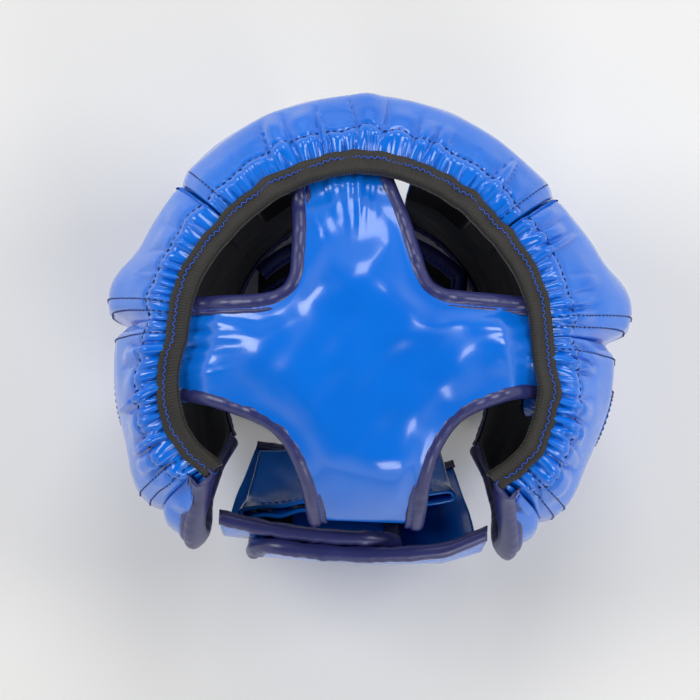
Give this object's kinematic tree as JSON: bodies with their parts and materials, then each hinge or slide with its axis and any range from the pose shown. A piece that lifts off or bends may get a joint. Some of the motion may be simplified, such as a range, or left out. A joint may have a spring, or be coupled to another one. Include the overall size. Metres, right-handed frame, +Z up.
{
  "type": "boxing headgear",
  "caption": "Padded open-face head guard with cheek guards, elastic rim, cross-shaped crown pad, overlapping rear closure and chin strap.",
  "frame": {"origin": "middle of the whole box, at the level the headgear stands on", "axes": "+Z up, +Y the way the wearer faces, +X the wearer's right"},
  "size_m": [0.2636, 0.2364, 0.2114],
  "materials": {
    "blue_leather": "glossy bright blue polyurethane leather",
    "navy_binding": "navy polyurethane binding tape",
    "black_velvet": "black brushed lining",
    "foam_padding": "closed-cell foam",
    "black_elastic": "ribbed fold-over elastic",
    "hook_tape": "nylon hook tape",
    "loop_tape": "nylon loop tape"
  },
  "bodies": {
    "shell": {"crown_cover": "blue_leather", "crown_foam": "foam_padding", "crown_front_binding_left": "navy_binding", "crown_front_binding_right": "navy_binding", "crown_lining": "black_velvet", "crown_side_bindings": "navy_binding", "forehead_cover": "blue_leather", "forehead_foam": "foam_padding", "forehead_lining": "black_velvet", "left_cheek_cover": "blue_leather", "left_cheek_foam": "foam_padding", "left_cheek_lining": "black_velvet", "left_ear_cover": "blue_leather", "left_ear_foam": "foam_padding", "left_ear_lining": "black_velvet", "left_neck_binding": "navy_binding", "left_rear_corner_cover": "blue_leather", "left_rear_corner_foam": "foam_padding", "left_rear_corner_lining": "black_velvet", "left_rear_edge_binding": "navy_binding", "right_cheek_cover": "blue_leather", "right_cheek_foam": "foam_padding", "right_cheek_lining": "black_velvet", "right_ear_cover": "blue_leather", "right_ear_foam": "foam_padding", "right_ear_lining": "black_velvet", "right_neck_binding": "navy_binding", "right_rear_corner_cover": "blue_leather", "right_rear_corner_foam": "foam_padding", "right_rear_corner_lining": "black_velvet", "right_rear_edge_binding": "navy_binding", "rim_elastic": "black_elastic"},
    "outer_strap": {"outer_strap_binding": "navy_binding", "outer_strap_cover": "blue_leather", "outer_strap_foam": "foam_padding", "outer_strap_hook_patch": "hook_tape", "outer_strap_lining": "black_velvet"},
    "inner_strap": {"inner_strap_binding": "navy_binding", "inner_strap_closure_loop": "loop_tape", "inner_strap_cover": "blue_leather", "inner_strap_foam": "foam_padding", "inner_strap_lining": "black_velvet", "inner_strap_loop_patch": "loop_tape", "neck_sleeve_inner": "blue_leather", "neck_sleeve_outer": "blue_leather"},
    "crown_arm": {"crown_arm_binding_left": "navy_binding", "crown_arm_binding_right": "navy_binding", "crown_arm_cover": "blue_leather", "crown_arm_foam": "foam_padding", "crown_arm_hook_patch": "hook_tape", "crown_arm_lining": "black_velvet"},
    "chin_strap": {"chin_strap_binding": "navy_binding", "chin_strap_cover": "blue_leather", "chin_strap_hook_patch": "hook_tape", "chin_strap_lining": "black_velvet"},
    "chin_tab": {"chin_tab_binding": "navy_binding", "chin_tab_cover": "blue_leather", "chin_tab_lining": "black_velvet"}
  },
  "joints": [
    {"name": "outer_strap_hinge", "type": "hinge", "parent": "shell", "child": "outer_strap", "pos_m": [0.069, -0.11275, 0.09], "axis": [0, 0, 1], "range_deg": [0, 60]},
    {"name": "inner_strap_hinge", "type": "hinge", "parent": "shell", "child": "inner_strap", "pos_m": [-0.069, -0.10975, 0.09], "axis": [0, 0, -1], "range_deg": [0, 7.5]},
    {"name": "crown_arm_hinge", "type": "hinge", "parent": "shell", "child": "crown_arm", "pos_m": [0, -0.04275, 0.2085], "axis": [-1, 0, 0], "range_deg": [0, 35]},
    {"name": "chin_strap_hinge", "type": "hinge", "parent": "shell", "child": "chin_strap", "pos_m": [-0.0612, 0.04125, 0.0115], "axis": [0, 1, 0], "range_deg": [0, 40]},
    {"name": "chin_tab_hinge", "type": "hinge", "parent": "shell", "child": "chin_tab", "pos_m": [0.0612, 0.04125, 0.018], "axis": [0, -1, 0], "range_deg": [0, 40]}
  ],
  "couplings": [
    {"joint": "inner_strap_hinge", "follows": "outer_strap_hinge", "ratio": 0.125},
    {"joint": "chin_tab_hinge", "follows": "chin_strap_hinge", "ratio": 1}
  ]
}
